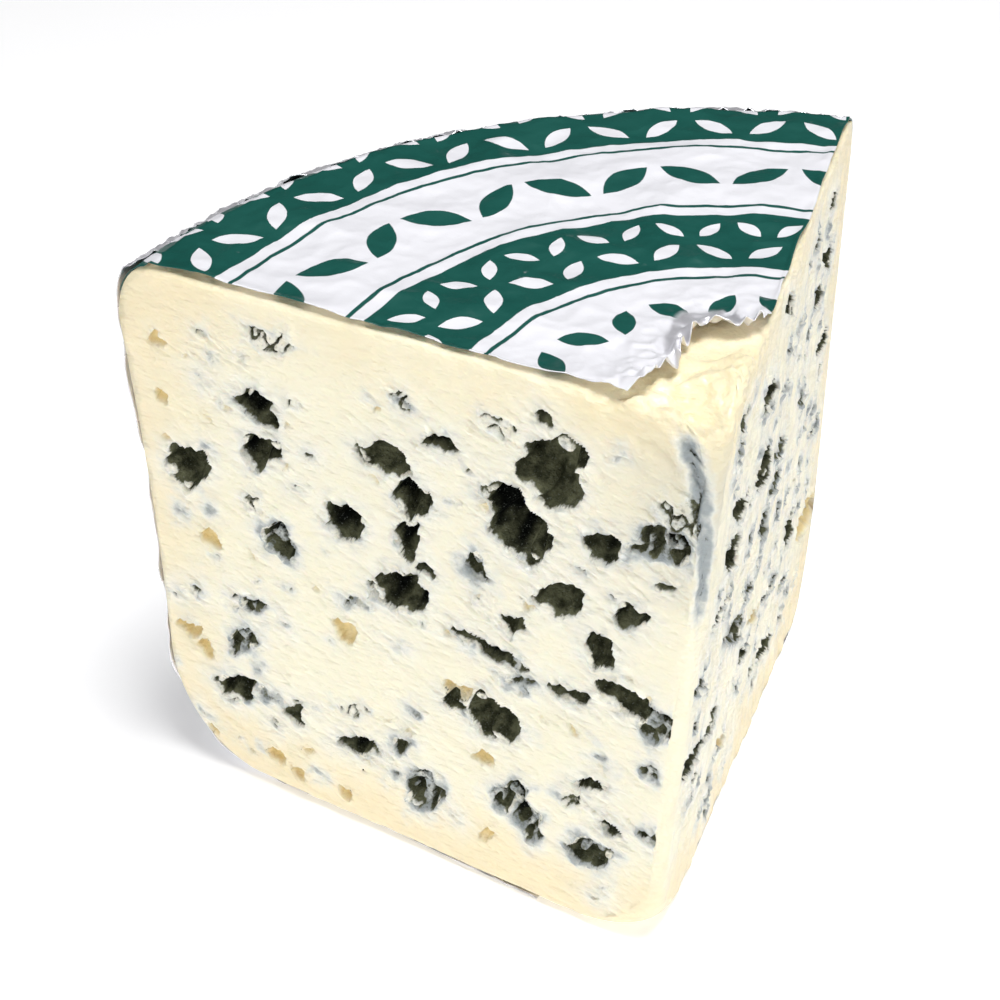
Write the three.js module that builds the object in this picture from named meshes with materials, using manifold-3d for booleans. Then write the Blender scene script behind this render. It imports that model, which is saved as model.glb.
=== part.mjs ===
// A wedge of blue cheese cut from a round wheel, with the printed foil on its top
// and the plain foil round its rind and under its base.
// Millimetres, +Z up. The wedge is drawn with the wheel's axis at x 0, y 0 and opens
// towards +Y; the finished group then stands with its origin under its middle.

import * as THREE from "three";
import { mergeVertices } from "three/addons/utils/BufferGeometryUtils.js";
import Module from "manifold-3d";

const wasm = await Module();
wasm.setup();

// Driving dimensions of the wheel and of the two cuts
const HEIGHT = 90.6;
const RIM_RADIUS = 97;
const WAIST_RADIUS = 94;
const HALF_ANGLE = THREE.MathUtils.degToRad(39);
const TOP_SHOULDER = { inward: 6, down: 10 };
const BASE_SHOULDER = { inward: 19, up: 22 };

// The vertical edge at the wedge's point: it leans, and its two ends are worn round
const POINT_AT_TOP = new THREE.Vector2(-2.2, 1.4);
const POINT_AT_BASE = new THREE.Vector2(-9, 1.3);
const POINT_ROUND = 2.2;
const POINT_WORN_BASE = { back: 15, up: 13 };
const POINT_WORN_TOP = { back: 7, down: 11 };

// Foil: gaps and thickness are those of a solid model, the real foil is thinner
const FOIL_GAP = 0.3;
const FOIL_THICK = 0.4;
const TOP_FOIL_TURNED_DOWN = 12;
const TOP_FOIL_TORN_BACK = 15.5;
const COLLAR_FROM = THREE.MathUtils.degToRad(20);
const COLLAR_STEPS = 4;
const COLLAR_PLEAT = 1.2;
const BASE_FOIL_STOPS_AT = 0.3;

// Mesh steps
const ARC_STEPS = 22;
const CUT_STEPS = 12;
const POINT_STEPS = 3;
const WALL_STEPS = 7;
const SHOULDER_STEPS = 4;
const LUMP_FINE_FROM = 4.3;
const LUMP_COARSE_TO = 2.35;

// How each kind of hollow in the paste is sunk: a share of its width, and the most
const DEPTHS = {
  dark: { share: 1, most: 6.5 },
  olive: { share: 0.8, most: 5.5 },
  grey: { share: 0.5, most: 3 },
  white: { share: 0.32, most: 1.2 },
  ochre: { share: 0.45, most: 1.6 },
};

// Near the point a hollow goes no deeper than this share of its distance from it
const DEEPEST_BY_POINT = 0.42;

// Hollows on the left cut: kind, distance from the point, height, length, width, tilt in degrees
const LEFT_HOLLOWS = [
  ["white", 68.5, 84.5, 9, 3.5, -5],
  ["olive", 26, 84.5, 3.6, 2.4, 0],
  ["white", 80, 82.5, 3.5, 2, -20],
  ["white", 32.5, 81.5, 6, 3, -5],
  ["white", 47.5, 81, 4, 3, -10],
  ["ochre", 88, 79, 4, 2, 20],
  ["white", 78, 79, 2.5, 2, -15],
  ["olive", 24, 76.5, 11.5, 10.5, 55],
  ["dark", 41, 76, 6, 2.4, 8],
  ["white", 65.5, 75, 3, 2, 5],
  ["white", 36.5, 73, 2.5, 2, -10],
  ["dark", 71, 72.5, 8, 5, -15],
  ["grey", 7, 71.5, 5, 4.5, -35],
  ["olive", 49.5, 70.5, 9, 5.5, -15],
  ["ochre", 87.5, 69.5, 3.5, 2, 15],
  ["grey", 9, 68, 4.5, 2, 15],
  ["dark", 15.5, 67.5, 6.5, 5.5, 50],
  ["dark", 28.5, 66.5, 14.5, 8.5, -40],
  ["dark", 70.5, 65, 7.5, 5.5, 50],
  ["dark", 45, 65, 7, 5.5, -80],
  ["olive", 6, 64, 3.4, 1.6, 15],
  ["olive", 83.5, 58, 8.5, 7.5, 15],
  ["dark", 45.5, 58, 6.5, 4, -80],
  ["dark", 56, 57.5, 7.5, 6, 0],
  ["grey", 34.5, 57.5, 5, 4, -55],
  ["dark", 10.5, 57.5, 5.5, 4.5, 15],
  ["olive", 21, 56.5, 8.5, 6, 10],
  ["white", 72, 55, 4, 3.2, -15],
  ["dark", 42.5, 54, 3.4, 2.5, -35],
  ["dark", 14.5, 50.5, 6, 5, 80],
  ["grey", 67.5, 50, 6.5, 6, -35],
  ["olive", 28, 49.5, 4, 3.4, 45],
  ["dark", 46.5, 48.5, 10, 7.5, -10],
  ["ochre", 79.5, 46, 4, 2.8, -10],
  ["ochre", 53, 44, 3, 1.8, 5],
  ["dark", 31.5, 44, 11, 2.8, -15],
  ["olive", 9.5, 43.5, 7.5, 5.5, -10],
  ["dark", 18, 41, 7, 3.2, -5],
  ["grey", 4.5, 41, 7, 5, 65],
  ["grey", 26, 40, 5, 2, 30],
  ["ochre", 55.5, 37.5, 4.6, 4.4, -28],
  ["grey", 72.5, 36, 4.5, 3, 15],
  ["ochre", 36.5, 34, 5.6, 3.6, 0],
  ["grey", 4.5, 32.5, 2.2, 2, -30],
  ["olive", 37, 31.5, 5, 2.5, 10],
  ["olive", 30, 31.5, 10, 7.5, -5],
  ["grey", 74.5, 28, 6.5, 4.5, 50],
  ["ochre", 84.5, 26.5, 5, 4.2, 5],
  ["dark", 13.5, 26, 6, 2.4, 30],
  ["ochre", 81.5, 24, 3.8, 3, 0],
  ["ochre", 31, 23.5, 3.4, 2.8, 0],
  ["white", 55, 22.5, 5, 2.5, 5],
  ["white", 16, 22, 3.5, 2.7, 5],
  ["grey", 2.5, 20.5, 3.5, 3, 5],
  ["grey", 45.5, 19.5, 4.5, 3, 70],
  ["dark", 9.5, 19.5, 4.5, 2.6, -15],
  ["grey", 70, 19, 4.6, 2, 5],
  ["dark", 76, 18, 9, 5, 20],
  ["grey", 26, 18, 8, 5.5, 30],
  ["olive", 65, 17, 4, 3.5, -5],
  ["dark", 53, 16, 9.5, 3.5, 10],
  ["grey", 22.5, 14.5, 6.5, 4.5, -75],
  ["grey", 12.5, 13.5, 9, 5, 0],
  ["grey", 41, 12, 9, 7, 50],
  ["ochre", 29.5, 9, 3.5, 2.4, 60],
  ["ochre", 81, 6.5, 3, 2.6, -15],
  ["ochre", 69, 6.5, 3.8, 3, -35],
  ["ochre", 64.5, 5, 3.2, 2.8, -20],
  ["ochre", 55.5, 5, 2.7, 2.5, 0],
];

// The broken top of the point: crumbs and bites, by x and y from the point, down from the top, half sizes
const POINT_LUMPS = [
  ["crumb", 1.4, 8, 4.9, 4.8, 5, 4.6],
  ["bite", -4.6, 6.2, 0.4, 2.6, 2.2, 1.8],
  ["bite", 5, 7, 7, 2, 2.4, 2.4],
  ["bite", 0.4, 2.4, 10, 2, 1.8, 2.4],
  ["bite", 2.2, 3.4, 1, 2.6, 2.2, 2],
];

// Hollows on the right cut, in the same way
const RIGHT_HOLLOWS = [
  ["olive", 43, 84.5, 9.5, 3.6, -30],
  ["olive", 80, 82.5, 8.5, 3.4, -20],
  ["grey", 67, 82.5, 7, 3.2, -40],
  ["dark", 12.5, 82.5, 7, 3.6, -25],
  ["grey", 11.5, 79, 5.5, 2.2, -50],
  ["dark", 33.5, 75, 12, 5, -25],
  ["dark", 82, 72, 11.5, 4.4, -25],
  ["grey", 59, 72, 7, 3, -5],
  ["dark", 76, 68, 10, 4.4, -25],
  ["grey", 50.5, 66.5, 6, 2.8, -30],
  ["dark", 19, 65.5, 12.5, 3.8, -30],
  ["dark", 38.5, 60, 16.5, 7.2, -25],
  ["olive", 19.5, 58, 16.5, 5.6, -40],
  ["olive", 86, 54.5, 10, 4.6, -25],
  ["grey", 69.5, 54, 7.5, 4.4, -30],
  ["grey", 53.5, 54, 8.5, 4.2, -30],
  ["dark", 15.5, 51.5, 11.5, 3, -10],
  ["grey", 51, 49, 9, 4.8, -5],
  ["olive", 86.5, 48.5, 6, 2.4, -30],
  ["grey", 5.5, 46, 9.5, 3.4, -15],
  ["grey", 46, 45, 10.5, 5.6, -30],
  ["grey", 44.5, 40, 6.5, 3.4, -20],
  ["grey", 58.5, 39.5, 4.5, 3.6, -35],
  ["grey", 39, 38, 8.5, 3, -20],
  ["grey", 87.5, 37.5, 8.5, 3.8, -15],
  ["grey", 30.5, 36.5, 16.5, 4.6, -30],
  ["dark", 7.5, 30.5, 14, 5, -25],
  ["ochre", 46.5, 27.5, 9, 3, -25],
  ["dark", 21, 27, 10.5, 5.2, -20],
  ["olive", 73, 25.5, 11, 5.4, -30],
  ["dark", 40.5, 24.5, 9.5, 2.8, -30],
  ["grey", 61, 23.5, 9, 3.2, -20],
  ["ochre", 89, 18.5, 16.5, 8, -20],
  ["grey", 72.5, 16, 8, 2.6, -15],
  ["ochre", 31.5, 14.5, 9, 2.8, -30],
  ["olive", 61, 11, 12.5, 4.4, -30],
];

// Smaller hollows than this are left out of the solid
const SMALLEST_HOLLOW = 3.4;

const lerp = THREE.MathUtils.lerp;

// How far a quarter of an ellipse stands back at share s of its height
const roundedBack = (s) => 1 - Math.sqrt(Math.max(0, 1 - s * s));

// Height levels of the rind, from the base to the top, with the wheel's radius at each
function rindLevels() {
  const levels = [];
  for (let i = 0; i <= SHOULDER_STEPS; i++) {
    const turn = (i / SHOULDER_STEPS) * (Math.PI / 2);
    levels.push({
      z: BASE_SHOULDER.up * (1 - Math.cos(turn)),
      r: WAIST_RADIUS - BASE_SHOULDER.inward * (1 - Math.sin(turn)),
    });
  }
  const wallTop = HEIGHT - TOP_SHOULDER.down;
  for (let i = 1; i <= WALL_STEPS; i++) {
    const s = i / WALL_STEPS;
    levels.push({ z: lerp(BASE_SHOULDER.up, wallTop, s), r: lerp(WAIST_RADIUS, RIM_RADIUS, s * s) });
  }
  for (let i = 1; i <= SHOULDER_STEPS; i++) {
    const turn = (i / SHOULDER_STEPS) * (Math.PI / 2);
    levels.push({
      z: wallTop + TOP_SHOULDER.down * Math.sin(turn),
      r: RIM_RADIUS - TOP_SHOULDER.inward * (1 - Math.cos(turn)),
    });
  }
  return levels;
}

// Where the wedge's point stands at a height
function pointAt(z) {
  return POINT_AT_BASE.clone().lerp(POINT_AT_TOP, z / HEIGHT);
}

// How far the worn point stands back from that line
function pointBack(z) {
  const low = Math.max(0, 1 - z / POINT_WORN_BASE.up);
  const high = Math.max(0, 1 - (HEIGHT - z) / POINT_WORN_TOP.down);
  return POINT_ROUND + POINT_WORN_BASE.back * roundedBack(low) + POINT_WORN_TOP.back * roundedBack(high);
}

// A point on a cut: side -1 is the left cut and 1 the right, along is measured from the point
function onCut(side, along, z, r) {
  const point = pointAt(z);
  const corner = new THREE.Vector2(side * r * Math.sin(HALF_ANGLE), r * Math.cos(HALF_ANGLE));
  const reach = corner.distanceTo(point);
  return point.lerp(corner, along / reach);
}

// One level's outline: down the left cut, round the point, out along the right cut, back round the rind
function outline({ z, r }) {
  const reach = (side) => onCut(side, 0, z, r).distanceTo(
    new THREE.Vector2(side * r * Math.sin(HALF_ANGLE), r * Math.cos(HALF_ANGLE)));
  const back = pointBack(z);
  const loop = [];
  for (let i = 0; i < CUT_STEPS; i++) loop.push(onCut(-1, lerp(reach(-1), back, i / CUT_STEPS), z, r));
  const from = onCut(-1, back, z, r);
  const to = onCut(1, back, z, r);
  const middle = pointAt(z).lerp(from.clone().add(to).multiplyScalar(0.5), 0.25);
  const nose = new THREE.QuadraticBezierCurve(from, middle, to);
  for (let i = 0; i < POINT_STEPS; i++) loop.push(nose.getPoint(i / POINT_STEPS));
  for (let i = 0; i < CUT_STEPS; i++) loop.push(onCut(1, lerp(back, reach(1), i / CUT_STEPS), z, r));
  for (let i = 0; i < ARC_STEPS; i++) {
    const angle = lerp(HALF_ANGLE, -HALF_ANGLE, i / ARC_STEPS);
    loop.push(new THREE.Vector2(r * Math.sin(angle), r * Math.cos(angle)));
  }
  return loop.map((p) => new THREE.Vector3(p.x, p.y, z));
}

function geometryOf(points, faces) {
  const geometry = new THREE.BufferGeometry();
  geometry.setAttribute("position", new THREE.Float32BufferAttribute(points.flatMap((p) => p.toArray()), 3));
  geometry.setIndex(faces.flat());
  return geometry;
}

// The uncut paste: outlines stacked from the base to the top, closed by a flat face at each end
function stackedOutlines() {
  const loops = rindLevels().map(outline);
  const count = loops[0].length;
  const points = loops.flat();
  const faces = [];
  for (let k = 0; k + 1 < loops.length; k++) {
    for (let i = 0; i < count; i++) {
      const j = (i + 1) % count;
      const [a, b, c, d] = [k * count + i, k * count + j, (k + 1) * count + j, (k + 1) * count + i];
      faces.push([a, b, c], [a, c, d]);
    }
  }
  for (const [level, up] of [[0, false], [loops.length - 1, true]]) {
    const hub = points.length;
    points.push(loops[level].reduce((sum, p) => sum.add(p), new THREE.Vector3()).divideScalar(count));
    for (let i = 0; i < count; i++) {
      const a = level * count + i;
      const b = level * count + ((i + 1) % count);
      faces.push(up ? [hub, a, b] : [hub, b, a]);
    }
  }
  return geometryOf(points, faces);
}

// A closed geometry as a solid that can be joined and cut
function solidOf(geometry) {
  const bare = new THREE.BufferGeometry();
  bare.setAttribute("position", geometry.getAttribute("position").clone());
  if (geometry.index) bare.setIndex(geometry.index);
  const merged = mergeVertices(bare, 1e-4);
  return new wasm.Manifold(new wasm.Mesh({
    numProp: 3,
    vertProperties: new Float32Array(merged.attributes.position.array),
    triVerts: new Uint32Array(merged.index.array),
  }));
}

// The largest body of a solid as a geometry, so that a loose scrap is dropped
function geometryFrom(solid) {
  const largest = solid.decompose().sort((a, b) => b.volume() - a.volume())[0];
  const mesh = largest.getMesh();
  const geometry = new THREE.BufferGeometry();
  geometry.setAttribute("position", new THREE.BufferAttribute(new Float32Array(mesh.vertProperties), 3));
  geometry.setIndex(new THREE.BufferAttribute(new Uint32Array(mesh.triVerts), 1));
  return geometry;
}

// An uneven round lump, its three half sizes given; the seed sets where it bulges
function lump(halfLong, halfWide, halfDeep, seed) {
  const halfMean = Math.sqrt(halfLong * halfWide);
  const ball = halfMean < LUMP_COARSE_TO
    ? new THREE.OctahedronGeometry(1, 1)
    : new THREE.IcosahedronGeometry(1, halfMean > LUMP_FINE_FROM ? 2 : 1);
  const geometry = mergeVertices(deleteExtras(ball), 1e-4);
  const position = geometry.getAttribute("position");
  const p = new THREE.Vector3();
  for (let i = 0; i < position.count; i++) {
    p.fromBufferAttribute(position, i);
    const wave = Math.sin(3.1 * p.x + seed) + Math.sin(3.7 * p.y + 2.1 * seed) + Math.sin(5.3 * (p.x - p.y) + 1.3 * seed);
    p.multiplyScalar(1 + 0.09 * wave);
    position.setXYZ(i, p.x * halfLong, p.y * halfWide, p.z * halfDeep);
  }
  return geometry;
}

function deleteExtras(geometry) {
  geometry.deleteAttribute("normal");
  geometry.deleteAttribute("uv");
  return geometry;
}

// The rind's radius at a height, read between its levels
function radiusAt(z) {
  const levels = rindLevels();
  const k = Math.max(1, levels.findIndex((level) => level.z >= z));
  const [a, b] = [levels[k - 1], levels[k]];
  return lerp(a.r, b.r, (z - a.z) / (b.z - a.z));
}

// A lump standing in a cut, to be taken away: x runs towards the point on the left cut
function hollow(side, [kind, along, up, long, wide, tilt], seed) {
  const { share: deepShare, most } = DEPTHS[kind];
  const deep = Math.min(most, wide * deepShare, DEEPEST_BY_POINT * along);
  const r = radiusAt(up);
  const here = onCut(side, along, up, r);
  const outer = onCut(side, along + 1, up, r);
  const away = new THREE.Vector3(outer.x - here.x, outer.y - here.y, 0).normalize();
  const across = away.clone().multiplyScalar(side);
  const upward = new THREE.Vector3(0, 0, 1);
  const outward = new THREE.Vector3().crossVectors(across, upward).normalize();
  const frame = new THREE.Matrix4().makeBasis(across, upward, outward);
  const turn = new THREE.Matrix4().makeRotationZ(THREE.MathUtils.degToRad(tilt));
  const place = new THREE.Matrix4().makeTranslation(here.x, here.y, up).multiply(frame).multiply(turn);
  return solidOf(lump(long / 2, wide / 2, deep, seed).applyMatrix4(place));
}

function cheeseGeometry() {
  let body = solidOf(stackedOutlines());
  const cuts = [];
  for (const [kind, x, y, down, ...halves] of POINT_LUMPS) {
    const piece = lump(...halves, x + y).translate(POINT_AT_TOP.x + x, POINT_AT_TOP.y + y, HEIGHT - down);
    if (kind === "crumb") body = body.add(solidOf(piece));
    else cuts.push(solidOf(piece));
  }
  for (const [side, rows] of [[-1, LEFT_HOLLOWS], [1, RIGHT_HOLLOWS]]) {
    const large = rows.filter(([, , , long]) => long >= SMALLEST_HOLLOW);
    cuts.push(...large.map((row, k) => hollow(side, row, k)));
  }
  return geometryFrom(body.subtract(wasm.Manifold.union(cuts)));
}

// A sheet of a given thickness over a grid of points: the grid is its inner face
function sheetOver(grid, thick) {
  const rows = grid.length;
  const columns = grid[0].length;
  const at = (k, i) => grid[THREE.MathUtils.clamp(k, 0, rows - 1)][THREE.MathUtils.clamp(i, 0, columns - 1)];
  const outer = grid.map((row, k) => row.map((p, i) => {
    const along = at(k, i + 1).clone().sub(at(k, i - 1));
    const down = at(k + 1, i).clone().sub(at(k - 1, i));
    return p.clone().addScaledVector(along.cross(down).normalize(), thick);
  }));
  const points = [...grid.flat(), ...outer.flat()];
  const back = rows * columns;
  const id = (k, i) => k * columns + i;
  const faces = [];
  const quad = (a, b, c, d) => faces.push([a, b, c], [a, c, d]);
  for (let k = 0; k + 1 < rows; k++) {
    for (let i = 0; i + 1 < columns; i++) {
      const [a, b, c, d] = [id(k, i), id(k, i + 1), id(k + 1, i + 1), id(k + 1, i)];
      quad(d, c, b, a);
      quad(back + a, back + b, back + c, back + d);
    }
  }
  const rim = [];
  for (let i = 0; i + 1 < columns; i++) rim.push([id(0, i), id(0, i + 1)], [id(rows - 1, i + 1), id(rows - 1, i)]);
  for (let k = 0; k + 1 < rows; k++) rim.push([id(k + 1, 0), id(k, 0)], [id(k, columns - 1), id(k + 1, columns - 1)]);
  for (const [a, b] of rim) quad(a, b, back + b, back + a);
  return geometryOf(points, faces);
}

// Angles across the wedge, the same as the rind's own steps
const arcAngles = () => Array.from({ length: ARC_STEPS + 1 }, (_, i) => lerp(-HALF_ANGLE, HALF_ANGLE, i / ARC_STEPS));

// Foil outside the rind: a profile of radius and height swept round the wedge, pleated outwards by the angle
function sweptRow(r, z, pleat) {
  return arcAngles().map((angle) => {
    const out = r + pleat * Math.abs(Math.sin(23 * angle) * Math.cos(41 * angle + 0.6));
    return new THREE.Vector3(out * Math.sin(angle), out * Math.cos(angle), z);
  });
}

// A level across the wedge: from the leaning point towards the rind, at a share of the way
function fannedRow(r, z, reachShares) {
  const point = pointAt(z);
  return arcAngles().map((angle, i) => {
    const rim = new THREE.Vector2(r * Math.sin(angle), r * Math.cos(angle));
    const p = point.clone().lerp(rim, reachShares[i]);
    return new THREE.Vector3(p.x, p.y, z);
  });
}

// Printed foil: flat over the top, torn back at the point, turned down over the shoulder
function topFoilGeometry() {
  const lift = HEIGHT + FOIL_GAP;
  const flatRadius = RIM_RADIUS - TOP_SHOULDER.inward;
  const torn = arcAngles().map((angle, i) => {
    const jag = 1.6 * Math.sin(2.9 * i) + 1.1 * Math.sin(1.7 * i + 1);
    return (TOP_FOIL_TORN_BACK / Math.cos(angle) + jag) / flatRadius;
  });
  const rows = [];
  const flatRows = 9;
  for (let k = 0; k < flatRows; k++) {
    const row = fannedRow(flatRadius, lift, torn.map((start) => lerp(start, 1, k / flatRows)));
    // the torn border is crumpled up
    if (k < 2) row.forEach((p, i) => (p.z += (k ? 0.5 : 1.1) * Math.abs(Math.sin(2.3 * i))));
    rows.push(row);
  }
  for (let i = 0; i <= SHOULDER_STEPS; i++) {
    const turn = (i / SHOULDER_STEPS) * (Math.PI / 2);
    const r = flatRadius + (TOP_SHOULDER.inward + FOIL_GAP) * Math.sin(turn);
    const z = HEIGHT - TOP_SHOULDER.down + (TOP_SHOULDER.down + FOIL_GAP) * Math.cos(turn);
    rows.push(sweptRow(r, z, 0));
  }
  rows.push(sweptRow(RIM_RADIUS + FOIL_GAP, HEIGHT - TOP_FOIL_TURNED_DOWN, 0));
  return sheetOver(rows, FOIL_THICK);
}

// Plain foil: a pleated collar over the top shoulder, down the rind, round the base shoulder and under the base
function sideFoilGeometry() {
  const outside = 2 * FOIL_GAP + FOIL_THICK;
  const rows = [];
  for (let i = 0; i < COLLAR_STEPS; i++) {
    const turn = lerp(COLLAR_FROM, Math.PI / 2, i / COLLAR_STEPS);
    const r = RIM_RADIUS - TOP_SHOULDER.inward + (TOP_SHOULDER.inward + outside) * Math.sin(turn);
    const z = HEIGHT - TOP_SHOULDER.down + (TOP_SHOULDER.down + outside) * Math.cos(turn);
    rows.push(sweptRow(r, z, COLLAR_PLEAT * (1 - i / COLLAR_STEPS)));
  }
  const levels = rindLevels().filter((level) => level.z <= HEIGHT - TOP_SHOULDER.down).reverse();
  for (const { r, z } of levels) {
    const covered = z > HEIGHT - TOP_FOIL_TURNED_DOWN - 1;
    const low = THREE.MathUtils.clamp(z / BASE_SHOULDER.up, 0, 1);
    const gap = covered ? outside : lerp(0, outside, Math.sqrt(low));
    rows.push(sweptRow(r + gap, z - FOIL_GAP * (1 - low), 0.8 * low));
  }
  const baseRows = 7;
  for (let k = 1; k <= baseRows; k++) {
    const reach = lerp(1, BASE_FOIL_STOPS_AT, k / baseRows);
    rows.push(fannedRow(WAIST_RADIUS - BASE_SHOULDER.inward, -FOIL_GAP, arcAngles().map(() => reach)));
  }
  return sheetOver(rows, FOIL_THICK);
}

const paste = new THREE.MeshStandardMaterial({ color: 0xf6ecd2, roughness: 0.45, metalness: 0 });
const printed = new THREE.MeshStandardMaterial({ color: 0x1d5e52, roughness: 0.35, metalness: 0.2 });
const silver = new THREE.MeshStandardMaterial({ color: 0xdcdfe6, roughness: 0.3, metalness: 0.8 });

const wedge = new THREE.Group();
for (const [name, geometry, material] of [
  ["cheese", cheeseGeometry(), paste],
  ["top_foil", topFoilGeometry(), printed],
  ["side_foil", sideFoilGeometry(), silver],
]) {
  const mesh = new THREE.Mesh(geometry, material);
  mesh.name = name;
  wedge.add(mesh);
}

// The origin goes under the middle of the whole part
const box = new THREE.Box3().setFromObject(wedge);
const middle = box.getCenter(new THREE.Vector3());
wedge.position.set(-middle.x, -middle.y, -box.min.z);

const part = new THREE.Group();
part.add(wedge);

export default part;
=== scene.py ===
import math

import bpy
import numpy as np
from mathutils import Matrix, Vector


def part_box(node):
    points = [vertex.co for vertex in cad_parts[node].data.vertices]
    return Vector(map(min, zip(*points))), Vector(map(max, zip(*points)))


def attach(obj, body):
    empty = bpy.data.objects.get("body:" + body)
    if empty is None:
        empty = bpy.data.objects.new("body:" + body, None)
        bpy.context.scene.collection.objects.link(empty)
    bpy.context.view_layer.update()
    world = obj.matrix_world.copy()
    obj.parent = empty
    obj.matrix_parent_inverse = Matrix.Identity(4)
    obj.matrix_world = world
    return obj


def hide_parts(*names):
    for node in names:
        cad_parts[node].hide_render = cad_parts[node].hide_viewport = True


# A wedge of blue cheese cut from a round wheel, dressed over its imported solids.
# Metres, +Z up. The wheel's axis stands at AXIS, and the wedge opens towards +Y.

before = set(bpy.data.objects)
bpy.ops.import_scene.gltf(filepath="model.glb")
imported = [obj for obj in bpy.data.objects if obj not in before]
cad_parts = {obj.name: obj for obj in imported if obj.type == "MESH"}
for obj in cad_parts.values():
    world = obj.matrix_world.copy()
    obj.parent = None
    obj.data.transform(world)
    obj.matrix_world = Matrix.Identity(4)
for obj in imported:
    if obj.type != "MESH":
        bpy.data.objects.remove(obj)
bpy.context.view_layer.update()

MM = 0.001
TAU = 2 * math.pi

# The wheel and the two cuts, as the solids have them
HEIGHT = 0.0906
RIM_RADIUS = 0.097
WAIST_RADIUS = 0.094
HALF_ANGLE = math.radians(39)
TOP_SHOULDER_INWARD = 0.006
TOP_SHOULDER_DOWN = 0.010
BASE_SHOULDER_INWARD = 0.019
BASE_SHOULDER_UP = 0.022

# Where the wheel's axis meets the underside of the paste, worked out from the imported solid
CHEESE_LOW, CHEESE_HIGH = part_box("cheese")
AXIS = np.array([
    (CHEESE_LOW[0] + CHEESE_HIGH[0]) / 2,
    CHEESE_HIGH[1] - RIM_RADIUS,
    CHEESE_LOW[2],
])

# The upright edge at the wedge's point leans, and its ends are worn round
POINT_AT_TOP = (-0.0022, 0.0014)
POINT_AT_BASE = (-0.0090, 0.0013)
POINT_ROUND = 0.0022
POINT_WORN_BASE_BACK = 0.015
POINT_WORN_BASE_UP = 0.013
POINT_WORN_TOP_BACK = 0.0045
POINT_WORN_TOP_DOWN = 0.009

# Mesh steps of the paste
LEFT_COLUMNS = 400
RIGHT_COLUMNS = 210
POINT_COLUMNS = 14
RIND_COLUMNS = 48
WALL_ROWS = 380
CAP_ROWS = 30
EDGE_ROUND = 0.0013
PASTE_TRIANGLES = 195000

# How the caps draw in: closer outlines near the edge, a small hub at the end, and how fast the mould fades
CAP_SPACING = 1.35
CAP_REACH = 0.97
CAP_FADE = 24
CAP_HUB_Y = 0.045

# The foils: how far a sheet stands off the paste, its own thickness, and how far the plain one laps outside
FOIL_CLEAR = 0.00015
FOIL_SKIN = 0.00012
FOIL_LAP = 0.0002

# Where the plain foil's collar starts on the top shoulder, how near the point it ends under the base as a
# share of the radius, and how far the printed foil is crumpled from its tear
COLLAR_FROM = math.radians(17)
BASE_REACH = 0.3
TEAR_CRUMPLE = 0.0040

# Named numbers that each vertex of a cut carries, and those that the mesh keeps
CUT_VALUES = (
    "shift_x", "shift_y", "deep", "cover", "mould", "halo", "veil",
    "ochre", "dim", "lip", "ragged", "worn", "kept",
)
PASTE_VALUES = ("cover", "mould", "halo", "veil", "ochre", "dim", "worn", "kept")

# Kinds of hollow: the bare strip on the wall, how far painted shade blackens the inside, the depth as a
# share of the width, the most it may be, the mould inside, the strength and the reach of the halo, and the
# ochre
KIND_VALUES = ("bare", "shade", "share", "most", "mould", "halo", "reach", "ochre")
KINDS = {
    "dark": (0.0006, 0.55, 1.10, 0.0080, 1.0, 0.70, 0.0010, 0.0),
    "olive": (0.0005, -0.35, 0.90, 0.0065, 0.9, 0.55, 0.0010, 0.2),
    "grey": (0.0004, 0.10, 0.60, 0.0036, 0.8, 0.95, 0.0016, 0.0),
    "white": (0.0000, 0.30, 0.32, 0.0012, 0.5, 0.60, 0.0012, 0.0),
    "ochre": (0.0000, -2.0, 0.60, 0.0022, 0.0, 0.05, 0.0008, 1.0),
}

# How every hollow is sunk: the slope of its wall, its lean upwards, and its most by its place from the point
WALL_SLOPE = 3.0
LEAN_UP = 0.42
DEEPEST_BY_POINT = 0.42

# How uneven its outline is: waves round it, each with its count and size, and bends and tears over the cut
RIM_WAVES = ((2, 0.12), (3, 0.10), (5, 0.06))
BEND_LEFT = 0.0009
BEND_RIGHT = 0.0005
RAGGED_LEFT = 0.00016
RAGGED_RIGHT = 0.00010

# Flaps of paste at a rim: how far in they stand, how large they are, and how far their edges drop
FLAP_PLACE = 0.90
FLAP_SMALLEST = 0.0013
FLAP_LARGEST = 0.0024
FLAP_LONG = 3.4
FLAP_WIDE = 1.5
FLAP_DROP = 0.0014

# How many flaps a hollow has while it is shorter than a length, and past all of those
FLAPS_UNDER = ((0.0038, 0), (0.0060, 1), (0.0090, 2))
FLAPS_MOST = 4

# How far outside a rim each mark reaches, and which hollows keep all their triangles
VEIL_REACH = 0.0030
OCHRE_REACH = 0.0005
LIP_REACH = 0.0006
RAGGED_REACH = 0.0009
MOULD_REACH = 0.0010
KEPT_REACH = 0.0006
KEPT_FROM = 0.0025

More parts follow.
